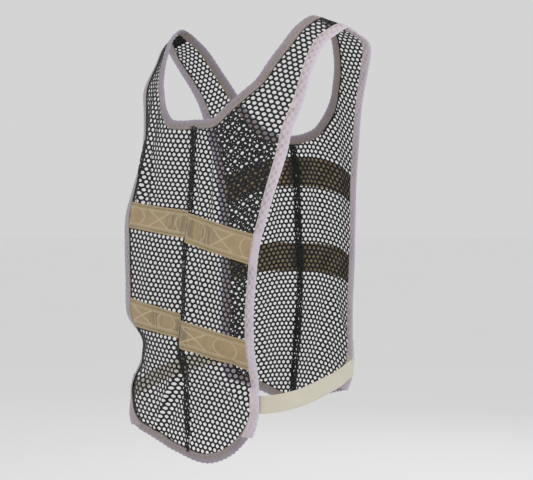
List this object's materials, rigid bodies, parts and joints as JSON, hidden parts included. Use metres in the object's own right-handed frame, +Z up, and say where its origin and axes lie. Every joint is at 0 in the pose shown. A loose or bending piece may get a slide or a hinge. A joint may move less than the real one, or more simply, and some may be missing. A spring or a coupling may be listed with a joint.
{
  "type": "back brace",
  "caption": "Light pull-on mesh vest with bound edges, tape bands across back and front, and elastic side straps.",
  "frame": {"origin": "midpoint between the two shoulder crests at the neck side, where the vest rests on the wearer", "axes": "+Y the way the wearer faces, +X the wearer's right, +Z up"},
  "size_m": [0.3284, 0.2354, 0.5478],
  "materials": {
    "net": "knitted mesh",
    "seam": "doubled mesh",
    "binding": "soft satin weave",
    "tape": "coated, slightly glossy",
    "elastic": "ribbed elastic",
    "thread": "matte"
  },
  "bodies": {
    "back": {"back_panel_right": "net", "back_panel_left": "net", "back_centre_seam": "seam", "back_neck_binding": "binding", "back_side_binding_right": "binding", "back_side_binding_left": "binding", "back_hem_binding": "binding", "back_band_upper_right": "tape", "back_band_upper_left": "tape", "back_band_lower_right": "tape", "back_band_lower_left": "tape", "back_band_stitching": "thread", "back_binding_stitching": "thread", "shoulder_seam_right": "seam", "shoulder_seam_left": "seam", "side_strap_right": "elastic", "side_strap_left": "elastic"},
    "front": {"front_panel_right": "net", "front_panel_left": "net", "front_centre_seam": "seam", "front_neck_binding": "binding", "front_side_binding_right": "binding", "front_side_binding_left": "binding", "front_hem_binding": "binding", "front_band_upper_right": "tape", "front_band_upper_left": "tape", "front_band_lower_right": "tape", "front_band_lower_left": "tape", "front_band_stitching": "thread", "front_binding_stitching": "thread"}
  },
  "joints": [
    {"name": "front_swing", "type": "hinge", "parent": "back", "child": "front", "pos_m": [0, 0.014, -0.011], "axis": [1, 0, 0], "range_deg": [0, 10], "stiffness_Nm_per_rad": 0.3, "deforming": ["side_strap_right", "side_strap_left"]}
  ]
}
